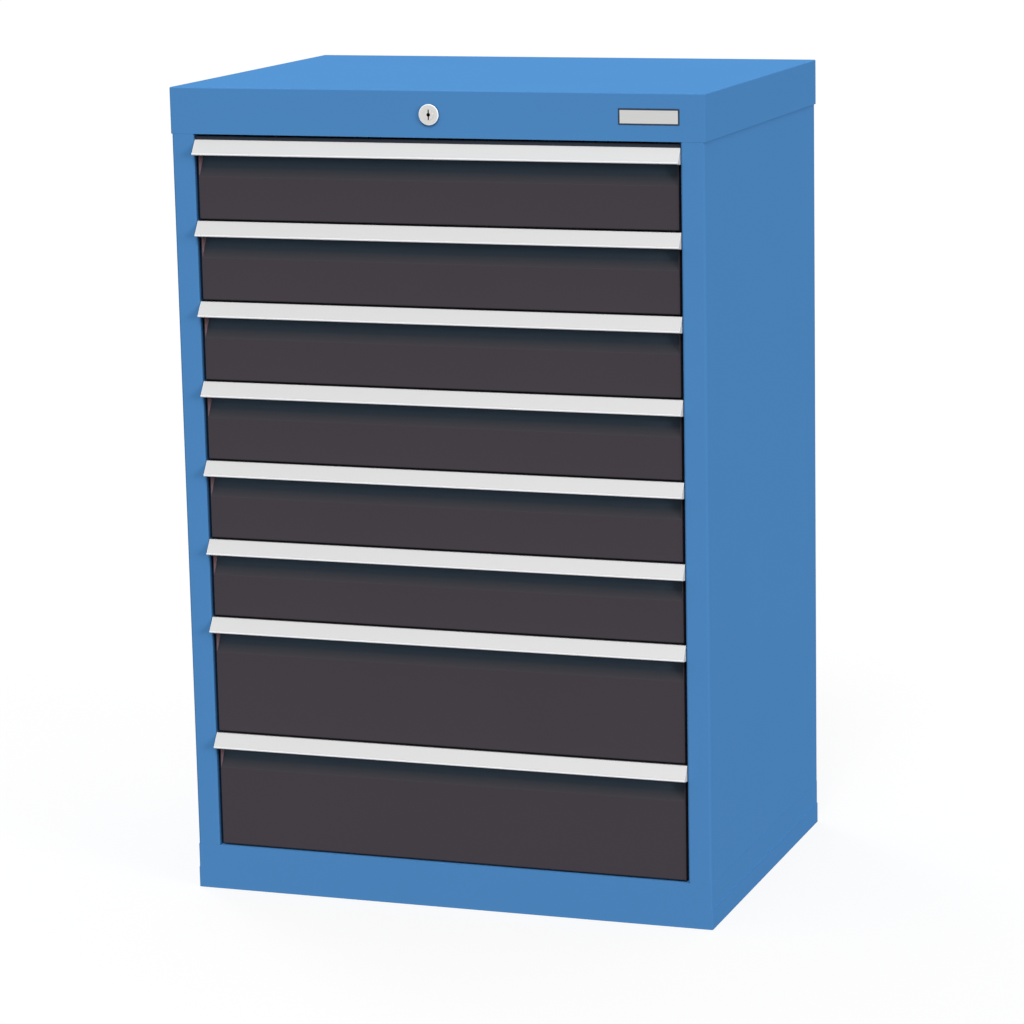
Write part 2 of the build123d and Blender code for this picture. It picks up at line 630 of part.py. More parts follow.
def make_lock_slider():
    """Flat bar with an upright slot for the cam pin and a slanted slot for the lock bar's pin."""
    head = block(SLIDER_HEAD_X, SLIDER_Y, SLIDER_Z)
    arm = block(SLIDER_X, SLIDER_Y, SLIDER_ARM_Z)
    cuts_y = (SLIDER_Y[0] - CUT, SLIDER_Y[1] + CUT)
    pin_x, pin_z = cam_pin_place()
    half = CAM_PIN_RADIUS + CAM_SLOT_PLAY
    lowest = LOCK_Z - CAM_RADIUS - half
    cam_slot = block((pin_x - half, pin_x + half), cuts_y, (lowest, pin_z + half))
    end = (BAR_PIN_X + SLIDER_STROKE, BAR_PIN_Z + BAR_STROKE)
    slot_radius = BAR_PIN_RADIUS + BAR_SLOT_PLAY
    slot_middle = trace(Line((BAR_PIN_X, BAR_PIN_Z), end), 2 * slot_radius)
    slot_start = Pos(BAR_PIN_X, BAR_PIN_Z) * Circle(slot_radius)
    slot_end = Pos(*end) * Circle(slot_radius)
    bar_slot = along_y(slot_start + slot_middle + slot_end, cuts_y)
    return head + arm - cam_slot - bar_slot


def make_lock_bar():
    """Upright bar with one nose for each drawer and a pin in the slider's slanted slot."""
    bar = block(BAR_X, BAR_Y, BAR_Z)
    for level in drawer_levels():
        bar = bar + block((NOSE_X, BAR_X[0]), BAR_Y, bar_nose_level(level))
    pin_end = SLIDER_Y[0] - BAR_PIN_END
    return bar + rod(BAR_PIN_RADIUS, (BAR_PIN_X, BAR_Y[0], BAR_PIN_Z), (BAR_PIN_X, pin_end, BAR_PIN_Z))


def make_lock_bar_guides():
    """Straps on the right front post that the lock bar slides through."""
    strap_y = (BAR_Y[0] - BAR_GUIDE_FRONT, FRONT_POST_Y)
    window_x = (BAR_X[0] - GUIDE_PLAY, BAR_X[1] + GUIDE_PLAY)
    window_y = (BAR_Y[0] - GUIDE_PLAY, BAR_Y[1] + GUIDE_PLAY)
    guides = []
    for z in BAR_GUIDE_ZS:
        strap = block(BAR_GUIDE_X, strap_y, (z, z + GUIDE_THICKNESS))
        guides.append(strap - block(window_x, window_y, (z - CUT, z + GUIDE_THICKNESS + CUT)))
    return group(guides)


def housing_parts():
    """Nodes of the fixed housing."""
    side_panel = make_right_side_panel()
    posts = make_right_posts()
    rails = make_right_cabinet_rails()
    return {
        "top_cover": make_top_cover(),
        "right_side_panel": side_panel,
        "left_side_panel": mirrored(side_panel),
        "back_panel": make_back_panel(),
        "back_rivets": make_back_rivets(),
        "base_frame": make_base_frame(),
        "bottom_panel": make_bottom_panel(),
        "top_front_rail": make_top_front_rail(),
        "right_posts": posts,
        "left_posts": mirrored(posts),
        "right_cabinet_rails": rails,
        "left_cabinet_rails": mirrored(rails),
        "name_plate": make_name_plate(),
    }


def lock_parts():
    """Nodes of the lock and its linkage."""
    return {
        "lock_housing": make_lock_housing(),
        "lock_nut": make_lock_nut(),
        "lock_core": make_lock_core(),
        "lock_cam": make_lock_cam(),
        "lock_slider": make_lock_slider(),
        "lock_bar": make_lock_bar(),
        "lock_bar_guides": make_lock_bar_guides(),
    }


def drawer_parts():
    """Nodes of the drawers, numbered from the top."""
    parts = {}
    for number, level in enumerate(drawer_levels(), start=1):
        parts[f"drawer_{number}_tray"] = make_tray(level)
        parts[f"drawer_{number}_front"] = make_front(level)
        parts[f"drawer_{number}_handle"] = make_handle(level)
        parts[f"drawer_{number}_runners"] = make_runners(level)
        parts[f"drawer_{number}_middle_slides"] = make_middle_slides(level)
    return parts


def main():
    os.makedirs("parts", exist_ok=True)
    for name, shape in {**housing_parts(), **lock_parts(), **drawer_parts()}.items():
        export_step(shape, f"parts/{name}.step")


if __name__ == "__main__":
    main()
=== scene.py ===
"""Gives a sheet-steel drawer cabinet its finishes and sets it on a pale studio floor."""

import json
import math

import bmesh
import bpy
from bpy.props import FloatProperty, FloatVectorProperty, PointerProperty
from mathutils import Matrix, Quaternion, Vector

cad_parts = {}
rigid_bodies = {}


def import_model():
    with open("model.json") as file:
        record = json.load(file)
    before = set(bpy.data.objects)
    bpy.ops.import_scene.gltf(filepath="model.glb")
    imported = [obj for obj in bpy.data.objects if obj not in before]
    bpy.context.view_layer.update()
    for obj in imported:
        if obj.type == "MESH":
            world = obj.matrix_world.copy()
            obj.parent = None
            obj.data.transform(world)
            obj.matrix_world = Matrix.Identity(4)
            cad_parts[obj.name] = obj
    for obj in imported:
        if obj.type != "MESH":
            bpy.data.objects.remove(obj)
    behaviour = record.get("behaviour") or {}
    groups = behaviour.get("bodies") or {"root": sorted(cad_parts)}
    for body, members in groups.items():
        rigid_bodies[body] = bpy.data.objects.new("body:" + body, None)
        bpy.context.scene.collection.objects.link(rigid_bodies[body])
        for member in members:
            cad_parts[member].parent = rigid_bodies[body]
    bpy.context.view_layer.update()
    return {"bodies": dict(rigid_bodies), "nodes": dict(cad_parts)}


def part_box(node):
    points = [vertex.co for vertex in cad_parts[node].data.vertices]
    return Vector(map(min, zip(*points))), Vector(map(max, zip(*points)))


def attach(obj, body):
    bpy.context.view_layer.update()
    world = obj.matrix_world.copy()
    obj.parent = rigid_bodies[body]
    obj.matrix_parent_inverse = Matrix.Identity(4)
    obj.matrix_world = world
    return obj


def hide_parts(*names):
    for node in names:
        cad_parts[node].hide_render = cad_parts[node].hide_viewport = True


bl_info = {
    "name": "Drawer cabinet",
    "version": (1, 0, 0),
    "blender": (4, 5, 0),
    "location": "View3D > Sidebar > Cabinet",
    "description": "Powder coat, slotted trays, metal fittings and a studio for a drawer cabinet",
    "category": "Object",
}

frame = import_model()

MILLIMETRE = 0.001

# Nodes that share a finish
DRAWERS = [body for body in frame["bodies"] if f"{body}_tray" in frame["nodes"]]
HOUSING_NODES = [
    "top_cover",
    "right_side_panel",
    "left_side_panel",
    "back_panel",
    "base_frame",
    "bottom_panel",
    "top_front_rail",
    "right_posts",
    "left_posts",
]
LINKAGE_NODES = ["lock_cam", "lock_slider", "lock_bar", "lock_bar_guides"]
CABINET_RAIL_NODES = ["right_cabinet_rails", "left_cabinet_rails"]

# Sheet and hem of a drawer tray
TRAY_SHEET = 1.0 * MILLIMETRE
TRAY_HEM = 8.0 * MILLIMETRE

# Directions from the cabinet towards the lights
KEY_DIRECTION = (0.118, -0.636, 0.763)
SIDE_DIRECTION = (0.9, -0.4, 0.21)
BACK_DIRECTION = (-0.72, 0.66, 0.21)


def linear(red, green, blue):
    """Linear colour of three screen values from 0 to 255."""

    def channel(value):
        part = value / 255
        return part / 12.92 if part <= 0.04045 else ((part + 0.055) / 1.055) ** 2.4

    return channel(red), channel(green), channel(blue)


def color_property(name, description, default):
    """Colour that a user can change."""
    return FloatVectorProperty(
        name=name, description=description, default=default, subtype="COLOR", size=3, min=0, max=1
    )


def length_property(name, description, default):
    """Length in metres that a user can change."""
    return FloatProperty(name=name, description=description, default=default, unit="LENGTH", precision=4)


class CabinetColors(bpy.types.PropertyGroup):
    """Colours of the cabinet's finishes."""

    housing: color_property("Housing", "Powder coat of the housing", linear(73, 128, 182))
    fronts: color_property("Drawer fronts", "Powder coat of the drawer fronts", linear(65, 60, 66))
    # Painted shade: a darker coat on the lower slope of the finger recess, in the handle's shade
    slope: color_property("Recess slope", "Coat at the foot of the finger recess", linear(56, 56, 61))
    # Painted shade: a dark, bluish coat deep in the finger recess, under the handle
    recess: color_property("Recess", "Coat deep in the finger recess", linear(69, 86, 102))
    # Painted shade: dark coat of the strip above the top drawer's front
    shade_strip: color_property("Raised edge", "Edge above the top drawer's front", linear(45, 50, 59))
    # Painted light: a much lighter coat on the inner ends of the finger recess, for light from the right
    cheek_light: color_property("Recess ends", "End pieces inside the finger recess", linear(140, 112, 118))
    # Painted shade: a dark blue coat on the inner faces of the opening's stiles, in the gaps beside the
    # fronts
    inner_edge_shade: color_property("Inner edge", "Coat on the folds inside the opening", linear(48, 85, 124))
    # Painted shade: a slightly darker coat round the housing's upright corners, against the highlight they
    # catch
    corner: color_property("Corner", "Coat round the housing's upright corners", linear(69, 121, 173))
    trays: color_property("Trays", "Powder coat of the drawer trays", linear(186, 189, 191))
    handles: color_property("Handles", "Anodised handle strips", linear(192, 192, 192))
    # Painted light: a light, non-metal colour on the ends of the handle strips
    caps: color_property("Handle ends", "Closed ends of the handle strips", linear(204, 203, 201))
    # Painted highlight: a bright, non-metal colour along the lower edge of the handle strips
    lip_highlight: color_property("Handle lip", "Polished lower edge of the handle strips", linear(221, 221, 223))
    aluminium: color_property("Bare aluminium", "Name plate and rivets", linear(205, 205, 204))
    # Painted shadow: a dark edge round the name plate, where its gap lies in shade
    plate_rim_shade: color_property("Plate rim", "Dark edge round the name plate", linear(22, 38, 58))
    # Painted shade: near black inside the lock's key hole
    key_hole_shade: color_property("Key hole", "Inside of the lock's key hole", linear(14, 14, 15))
    zinc: color_property("Zinc", "Plating of the slides and the lock linkage", linear(190, 193, 196))
    nickel: color_property("Nickel", "Plating of the lock", linear(216, 214, 212))
    # Painted highlight: a bluish white, non-metal rim round the lock's face
    lock_rim_highlight: color_property("Lock rim", "Polished rim round the lock's face", linear(232, 239, 245))
    # Painted shade: dark navy on the side of the lock's collar
    lock_wall_shade: color_property("Lock wall", "Side of the lock's collar", linear(36, 60, 86))


class CabinetDetails(bpy.types.PropertyGroup):
    """Sizes of the fine detail."""

    coat_grain: length_property("Coat grain", "Size of the powder coat's orange peel", 0.0011)
    coat_relief: length_property("Coat relief", "Height of the orange peel", 0.00004)
    edge_radius: length_property("Edge radius", "Rounding of the sheet's cut edges", 0.0003)
    recess_depth: length_property("Recess depth", "How far the finger recess goes into a front", 0.015)
    cheek_sheet: length_property("Recess end sheet", "Thickness of the recess's end pieces", 0.001)
    cap_width: length_property("Handle end width", "Width of a handle strip's end caps", 0.0015)
    lip_width: length_property("Lip width", "Depth of a handle strip's bright lower edge", 0.0007)
    # Width of the painted shadow round the name plate
    plate_rim_shade: length_property("Plate rim width", "Width of the dark edge round the name plate", 0.0017)
    # Width of the painted highlight round the lock's face
    lock_rim_highlight: length_property("Lock rim width", "Width of the polished rim round the lock's face", 0.0012)
    key_rim: length_property("Key rim", "How far into the key hole the bright face reaches", 0.0004)
    slot_pitch: length_property("Slot pitch", "Distance between the divider slots of a tray", 0.0167)
    slot_width: length_property("Slot width", "Width of a divider slot", 0.0026)
    slot_margin: length_property("Slot margin", "Plain wall above and below a slot", 0.016)
    tray_bend: length_property("Tray bend", "Outer radius of the tray's folds", 0.0015)
    # Height of the strip of painted shade above the top drawer's front
    shade_strip: length_property("Raised edge", "Height of the edge above the top drawer's front", 0.0044)


class CabinetStudio(bpy.types.PropertyGroup):
    """Floor, lights and camera."""

    floor_radius: length_property("Floor radius", "Radius of the studio floor", 30.0)
    floor_shade: FloatProperty(
        name="Floor shade", description="How much light the floor gives back", default=0.15, subtype="FACTOR"
    )
    floor_glow: FloatProperty(
        name="Floor glow", description="Brightness that the camera sees on top of the light", default=0.8
    )
    world_level: FloatProperty(
        name="World level", description="Light from all round, where 1 is white", default=0.8
    )
    key_level: FloatProperty(name="Key light", description="Light from high in front", default=1.72)
    side_level: FloatProperty(name="Side light", description="Soft light from the right", default=1.45)
    back_level: FloatProperty(name="Back light", description="Soft light from the left behind", default=1.9)
    key_spread: FloatProperty(
        name="Key spread", description="How wide the key light is seen from the cabinet",
        default=math.radians(25), subtype="ANGLE",
    )
    fill_spread: FloatProperty(
        name="Fill spread", description="How wide the other lights are seen from the cabinet",
        default=math.radians(22), subtype="ANGLE",
    )
    camera_place: FloatVectorProperty(
        name="Camera place", description="Where the camera stands", default=(1.6008, -4.4437, 1.4042),
        subtype="XYZ",
    )
    camera_aim: FloatVectorProperty(
        name="Camera aim", description="Point that the camera faces", default=(0.1818, -0.245, 0.4853),
        subtype="XYZ",
    )
    camera_roll: FloatProperty(
        name="Camera roll", description="Tilt of the camera about its view", default=math.radians(0.962),
        subtype="ANGLE",
    )
    camera_lens: FloatProperty(
        name="Camera lens", description="Focal length on a 36 mm wide sensor", default=131.62, unit="CAMERA"
    )
    camera_shift: FloatVectorProperty(
        name="Camera shift", description="Shift of the picture across and up, in picture widths",
        default=(-0.0684, 0.0224), size=2,
    )


def add(tree, kind, settings=None, inputs=None):
    """Adds a shader node, and gives each input a constant or another node's output."""
    node = tree.nodes.new(kind)
    for name, value in (settings or {}).items():
        setattr(node, name, value)
    for name, value in (inputs or {}).items():
        if isinstance(value, bpy.types.NodeSocket):
            tree.links.new(value, node.inputs[name])
        else:
            node.inputs[name].default_value = value
    return node


def calculate(tree, operation, *values, clamp=False):
    """Output of a Math node."""
    settings = {"operation": operation, "use_clamp": clamp}
    return add(tree, "ShaderNodeMath", settings, dict(enumerate(values))).outputs[0]


def scaled(tree, vector, factor):
    """Vector or colour times a number."""
    inputs = {"Vector": vector, "Scale": factor}
    return add(tree, "ShaderNodeVectorMath", {"operation": "SCALE"}, inputs).outputs[0]


def new_group(name, inputs, outputs):
    """Empty shader node group with its sockets. Inputs are name, kind and default, outputs name and kind."""
    tree = bpy.data.node_groups.new(name, "ShaderNodeTree")
    for socket_name, kind, default in inputs:
        socket = tree.interface.new_socket(socket_name, in_out="INPUT", socket_type=kind)
        socket.default_value = default
    for socket_name, kind in outputs:
        tree.interface.new_socket(socket_name, in_out="OUTPUT", socket_type=kind)
    return tree, tree.nodes.new("NodeGroupInput").outputs, tree.nodes.new("NodeGroupOutput")


def place_group(tree, name, inputs):
    """Puts a node group in a material with this material's values."""
    return add(tree, "ShaderNodeGroup", {"node_tree": bpy.data.node_groups[name]}, inputs).outputs


def build_rounded_edge_group():
    """Normal of a slightly rounded edge, and a mask that is 1 along it."""
    mask_gain = 5.0
    tree, given, made = new_group(
        "Rounded edge",
        [("Radius", "NodeSocketFloat", 0.0005)],
        [("Normal", "NodeSocketVector"), ("Edge", "NodeSocketFloat")],
    )
    bevel = add(tree, "ShaderNodeBevel", {"samples": 6}, {"Radius": given["Radius"]})
    surface = add(tree, "ShaderNodeNewGeometry")
    pair = {0: bevel.outputs["Normal"], 1: surface.outputs["Normal"]}
    likeness = add(tree, "ShaderNodeVectorMath", {"operation": "DOT_PRODUCT"}, pair).outputs["Value"]
    turned = calculate(tree, "SUBTRACT", 1.0, likeness)
    tree.links.new(bevel.outputs["Normal"], made.inputs["Normal"])
    tree.links.new(calculate(tree, "MULTIPLY", turned, mask_gain, clamp=True), made.inputs["Edge"])


def build_powder_coat_group():
    """Mottled colour, roughness and orange peel of a powder coat."""
    cloud_scale = 7.0
    roughness_swing = 0.10
    tree, given, made = new_group(
        "Powder coat",
        [
            ("Color", "NodeSocketColor", (0.5, 0.5, 0.5, 1)),
            ("Roughness", "NodeSocketFloat", 0.5),
            ("Mottle", "NodeSocketFloat", 0.05),
            ("Grain", "NodeSocketFloat", 0.001),
        ],
        [("Color", "NodeSocketColor"), ("Roughness", "NodeSocketFloat"), ("Height", "NodeSocketFloat")],
    )
    place = add(tree, "ShaderNodeTexCoord").outputs["Object"]
    cloud = add(tree, "ShaderNodeTexNoise", None, {"Vector": place, "Scale": cloud_scale, "Detail": 4.0})
    cloud_offset = calculate(tree, "SUBTRACT", cloud.outputs["Fac"], 0.5)
    shade = calculate(tree, "MULTIPLY_ADD", cloud_offset, given["Mottle"], 1.0)
    grain_scale = calculate(tree, "DIVIDE", 1.0, given["Grain"])
    peel = add(tree, "ShaderNodeTexNoise", None, {"Vector": place, "Scale": grain_scale, "Detail": 1.5})
    peel_offset = calculate(tree, "SUBTRACT", peel.outputs["Fac"], 0.5)
    roughness = calculate(tree, "MULTIPLY_ADD", peel_offset, roughness_swing, given["Roughness"])
    tree.links.new(scaled(tree, given["Color"], shade), made.inputs["Color"])
    tree.links.new(roughness, made.inputs["Roughness"])
    tree.links.new(peel.outputs["Fac"], made.inputs["Height"])


def build_metal_grain_group():
    """Colour, roughness and fine lines of a drawn, turned or plated metal. Its vector sets the lines' way."""
    tree, given, made = new_group(
        "Metal grain",
        [
            ("Vector", "NodeSocketVector", (0, 0, 0)),
            ("Color", "NodeSocketColor", (0.8, 0.8, 0.8, 1)),
            ("Roughness", "NodeSocketFloat", 0.4),
            ("Contrast", "NodeSocketFloat", 0.1),
        ],
        [("Color", "NodeSocketColor"), ("Roughness", "NodeSocketFloat"), ("Height", "NodeSocketFloat")],
    )
    lines = add(tree, "ShaderNodeTexNoise", None, {"Vector": given["Vector"], "Scale": 1.0, "Detail": 3.0})
    offset = calculate(tree, "SUBTRACT", lines.outputs["Fac"], 0.5)
    shade = calculate(tree, "MULTIPLY_ADD", offset, given["Contrast"], 1.0)
    roughness = calculate(tree, "MULTIPLY_ADD", offset, given["Contrast"], given["Roughness"])
    tree.links.new(scaled(tree, given["Color"], shade), made.inputs["Color"])
    tree.links.new(roughness, made.inputs["Roughness"])
    tree.links.new(lines.outputs["Fac"], made.inputs["Height"])


def new_material(name):
    """Material with an empty node tree."""
    material = bpy.data.materials.new(name)
    material.use_nodes = True
    material.node_tree.nodes.clear()
    return material, material.node_tree


def split_place(tree):
    """X, Y and Z of the surface in the cabinet's frame."""
    place = add(tree, "ShaderNodeTexCoord").outputs["Object"]
    return add(tree, "ShaderNodeSeparateXYZ", None, {0: place}).outputs


def beyond(tree, value, middle, reach):
    """1 where a coordinate is further from the middle than the reach."""
    offset = calculate(tree, "ABSOLUTE", calculate(tree, "SUBTRACT", value, middle))
    return calculate(tree, "GREATER_THAN", offset, reach)


def beyond_ends(tree, reach):
    """1 on the outermost part of a piece at both its left and right end."""
    return beyond(tree, split_place(tree)["X"], 0.0, reach)


def split_normal(tree):
    """X, Y and Z of the surface's normal."""
    surface = add(tree, "ShaderNodeNewGeometry")
    return add(tree, "ShaderNodeSeparateXYZ", None, {0: surface.outputs["Normal"]}).outputs


def inward(tree, reach):
    """1 on the faces at the left and right that look back at the middle."""
    outward = calculate(tree, "MULTIPLY", split_normal(tree)["X"], split_place(tree)["X"])
    return calculate(tree, "LESS_THAN", outward, -reach / 2)


def inward_ends(tree, reach):
    """1 on the inner faces of a piece's two ends."""
    return calculate(tree, "MULTIPLY", inward(tree, reach), beyond_ends(tree, reach))


def inward_edges(tree, reach, y):
    """1 on the inner faces of the stiles, in front of an upright plane."""
    within = calculate(tree, "SUBTRACT", 1.0, beyond_ends(tree, reach))
    in_front = calculate(tree, "SUBTRACT", 1.0, behind(tree, y))
    return calculate(tree, "MULTIPLY", inward(tree, reach), calculate(tree, "MULTIPLY", within, in_front))


def recessed(tree, y, depth, stretch):
    """Grows from 0 to 1 on the faces to the front, over a stretch of a depth behind an upright plane."""
    towards_front = -0.2
    limits = {1: y + stretch[0] * depth, 2: y + stretch[1] * depth}
    settings = {"interpolation_type": "SMOOTHSTEP"}
    grown = add(tree, "ShaderNodeMapRange", settings, {0: split_place(tree)["Y"], **limits}).outputs[0]
    facing = calculate(tree, "LESS_THAN", split_normal(tree)["Y"], towards_front)
    return calculate(tree, "MULTIPLY", grown, facing)


# Mask of the painted shade round the housing's upright corners
def upright_corner_shade(tree):
    """Grows to 1 in the middle of a rounded upright corner, where X times Y of the normal is a half."""
    gain = 2.0
    normal = split_normal(tree)
    both = calculate(tree, "ABSOLUTE", calculate(tree, "MULTIPLY", normal["X"], normal["Y"]))
    return calculate(tree, "MULTIPLY", both, gain, clamp=True)


def along_rim(tree, low, high, width):
    """1 along the edges of a plate that faces the front."""
    place = split_place(tree)
    middle = (low + high) / 2
    half = (high - low) / 2
    sides = beyond(tree, place["X"], middle.x, half.x - width)
    ends = beyond(tree, place["Z"], middle.z, half.z - width)
    return calculate(tree, "MAXIMUM", sides, ends)


def behind(tree, y):
    """1 behind an upright plane."""
    return calculate(tree, "GREATER_THAN", split_place(tree)["Y"], y)


def mark(tree, plain, *marks):
    """A plain colour, and another one where each mask is 1. Each mark is a mask and its colour."""
    # Sockets of a Mix node that is set to colours
    factor, first, second, result = 0, 6, 7, 2
    base = (*plain, 1)
    for mask, color in marks:
        inputs = {factor: mask, first: base, second: (*color, 1)}
        base = add(tree, "ShaderNodeMix", {"data_type": "RGBA"}, inputs).outputs[result]
    return base


def finish_surface(tree, effect, normal, relief, constants):
    """Principled shader fed by an effect's colour, roughness and height, over a rounded normal."""
    bump = add(
        tree, "ShaderNodeBump", None, {"Height": effect["Height"], "Distance": relief, "Normal": normal}
    )
    inputs = {"Roughness": effect["Roughness"], "Normal": bump.outputs["Normal"], **constants}
    shader = add(tree, "ShaderNodeBsdfPrincipled", None, inputs)
    add(tree, "ShaderNodeOutputMaterial", None, {"Surface": shader.outputs["BSDF"]})
    return shader


def no_marks(tree):
    """Marks of a finish that has one colour."""
    return ()


def powder_coat(name, color, details, roughness, mottle, specular, make_marks=no_marks):
    """Powder coat with a painted highlight that makes it a little lighter along the sheet's edges."""
    # Painted highlight: how much lighter the coat is along its rounded edges
    edge_highlight = 0.05
    material, tree = new_material(name)
    rounded = place_group(tree, "Rounded edge", {"Radius": details.edge_radius})
    base = mark(tree, color, *make_marks(tree))
    values = {"Color": base, "Roughness": roughness, "Mottle": mottle, "Grain": details.coat_grain}
    coat = place_group(tree, "Powder coat", values)
    highlight_lift = calculate(tree, "MULTIPLY_ADD", rounded["Edge"], edge_highlight, 1.0)
    shader = finish_surface(
        tree, coat, rounded["Normal"], details.coat_relief, {"Specular IOR Level": specular}
    )
    tree.links.new(scaled(tree, coat["Color"], highlight_lift), shader.inputs["Base Color"])
    return material


def stretched_place(tree, scale):
    """Object coordinates times a scale along each axis."""
    place = add(tree, "ShaderNodeTexCoord").outputs["Object"]
    return add(tree, "ShaderNodeVectorMath", {"operation": "MULTIPLY"}, {0: place, 1: scale}).outputs[0]


def axis_distance(tree, centre):
    """Distance from an axis along Y."""
    place = add(tree, "ShaderNodeTexCoord").outputs["Object"]
    arm = add(tree, "ShaderNodeVectorMath", {"operation": "SUBTRACT"}, {0: place, 1: centre}).outputs[0]
    flat = add(tree, "ShaderNodeVectorMath", {"operation": "MULTIPLY"}, {0: arm, 1: (1, 0, 1)}).outputs[0]
    return add(tree, "ShaderNodeVectorMath", {"operation": "LENGTH"}, {0: flat}).outputs["Value"]


def turned_place(tree, centre, scale):
    """Coordinate that grows with the distance from an axis along Y."""
    along = calculate(tree, "MULTIPLY", axis_distance(tree, centre), scale)
    return add(tree, "ShaderNodeCombineXYZ", None, {"X": along}).outputs[0]


def metal(name, color, details, make_vector, roughness, contrast, metallic=1.0, make_marks=no_marks):
    """Metal with fine lines and rounded edges. A marked part has another colour, which on this cabinet is
    painted light or shade, and isn't metal.
    """
    line_relief = 0.01 * MILLIMETRE
    material, tree = new_material(name)
    rounded = place_group(tree, "Rounded edge", {"Radius": details.edge_radius})
    marks = make_marks(tree)
    base = mark(tree, color, *marks)
    metalness = metallic
    for mask, _ in marks:
        metalness = calculate(tree, "MULTIPLY_ADD", mask, -metallic, metalness, clamp=True)
    values = {"Vector": make_vector(tree), "Color": base, "Roughness": roughness, "Contrast": contrast}
    grain = place_group(tree, "Metal grain", values)
    shader = finish_surface(tree, grain, rounded["Normal"], line_relief, {"Metallic": metalness})
    tree.links.new(grain["Color"], shader.inputs["Base Color"])
    return material


def give(material, nodes):
    """Puts a material on CAD nodes."""
    for node in nodes:
        for slot in frame["nodes"][node].material_slots:
            slot.material = material


def drawer_nodes(piece):
    """Names of one piece of every drawer."""
    return [f"{drawer}_{piece}" for drawer in DRAWERS]


def new_piece(context, name, shell, coat):
    """Object of a finished mesh."""
    data = bpy.data.meshes.new(name)
    shell.to_mesh(data)
    shell.free()
    data.materials.append(coat)
    piece = bpy.data.objects.new(name, data)
    context.scene.collection.objects.link(piece)
    return piece


def bend_points(centre, radius):
    """Points round a quarter bend in Y and Z, from its front to its top."""
    steps = 4
    angles = [math.pi - step / steps * math.pi / 2 for step in range(steps + 1)]
    return [(centre[0] + radius * math.cos(angle), centre[1] + radius * math.sin(angle)) for angle in angles]


def folded_strip(corner, end_x, height):
    """Sheet strip that stands up at a corner, and is folded back at its top, as a closed mesh."""
    sheet, outer, inner, fold = (size * MILLIMETRE for size in (1.2, 1.5, 0.3, 6.0))
    centre = (corner.y + outer, corner.z + height - outer)
    outline = [(corner.y, corner.z)] + bend_points(centre, outer)
    outline += [(corner.y + fold, centre[1] + outer), (corner.y + fold, centre[1] + inner)]
    outline += bend_points(centre, inner)[::-1] + [(corner.y + sheet, corner.z)]
    mesh = bmesh.new()
    rings = [[mesh.verts.new((x, y, z)) for y, z in outline] for x in (corner.x, end_x)]
    for index in range(len(outline)):
        following = (index + 1) % len(outline)
        mesh.faces.new([rings[0][index], rings[0][following], rings[1][following], rings[1][index]])
    mesh.faces.new(rings[0][::-1])
    mesh.faces.new(rings[1])
    bmesh.ops.recalc_face_normals(mesh, faces=mesh.faces)
    return mesh


class CoatHousing(bpy.types.Operator):
    """Powder-coats the housing."""

    bl_idname = "cabinet.coat_housing"
    bl_label = "Coat the housing"

    def execute(self, context):
        colors = context.scene.cabinet_colors
        details = context.scene.cabinet_details
        opening_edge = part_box(f"{DRAWERS[0]}_handle")[1].x + MILLIMETRE
        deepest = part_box(f"{DRAWERS[0]}_front")[0].y + details.recess_depth

        def marks(tree):
            # Painted shade on the inner faces of the stiles, in the gaps beside the drawer fronts
            inner_edge_shade_mask = inward_edges(tree, opening_edge, deepest)
            # Painted shade round the upright corners damps the highlight that their rounding catches
            return [(upright_corner_shade(tree), colors.corner), (inner_edge_shade_mask, colors.inner_edge_shade)]

        coat = powder_coat(
            "Housing powder coat", colors.housing, details,
            roughness=0.6, mottle=0.04, specular=0.0, make_marks=marks,
        )
        give(coat, HOUSING_NODES)
        return {"FINISHED"}


class CoatFronts(bpy.types.Operator):
    """Powder-coats the drawer fronts."""

    bl_idname = "cabinet.coat_fronts"
    bl_label = "Coat the drawer fronts"

    def execute(self, context):
        colors = context.scene.cabinet_colors
        details = context.scene.cabinet_details
        low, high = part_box(f"{DRAWERS[0]}_front")
        depth = details.recess_depth
        foot_stretch = (0.002, 0.03)
        deep_stretch = (0.12, 0.85)
        inside = high.x - details.cheek_sheet - MILLIMETRE / 20
        surface = {"roughness": 0.6, "mottle": 0.06, "specular": 0.02}

        def marks(tree):
            # Painted shade on the lower slope of the finger recess
            slope = recessed(tree, low.y, depth, foot_stretch)
            # Painted shade deep in the finger recess, under the handle
            recess = recessed(tree, low.y, depth, deep_stretch)
            # Painted light on the inner ends of the finger recess
            ends = inward_ends(tree, inside)
            return [(slope, colors.slope), (recess, colors.recess), (ends, colors.cheek_light)]

        coat = powder_coat("Front powder coat", colors.fronts, details, make_marks=marks, **surface)
        give(coat, drawer_nodes("front"))
        # Painted shade: the strip above the top front stands in for its shaded top edge
        shade_strip_coat = powder_coat("Raised edge powder coat", colors.shade_strip, details, **surface)
        half_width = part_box(f"{DRAWERS[0]}_handle")[1].x - MILLIMETRE / 5
        self.add_shade_strip(context, low.y, high.z, half_width, details, shade_strip_coat)
        return {"FINISHED"}

    def add_shade_strip(self, context, y, z, half_width, details, coat):
        """Folded strip that stands up behind the top handle strip, as wide as the strip. Its dark coat is
        painted shade: it stands in for the top edge of the front in the rail's shade.
        """
        set_in = MILLIMETRE / 10
        corner = Vector((-half_width, y + set_in, z - set_in))
        mesh = folded_strip(corner, half_width, details.shade_strip + set_in)
        piece = new_piece(context, f"{DRAWERS[0]}_shade_strip", mesh, coat)
        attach(piece, DRAWERS[0])


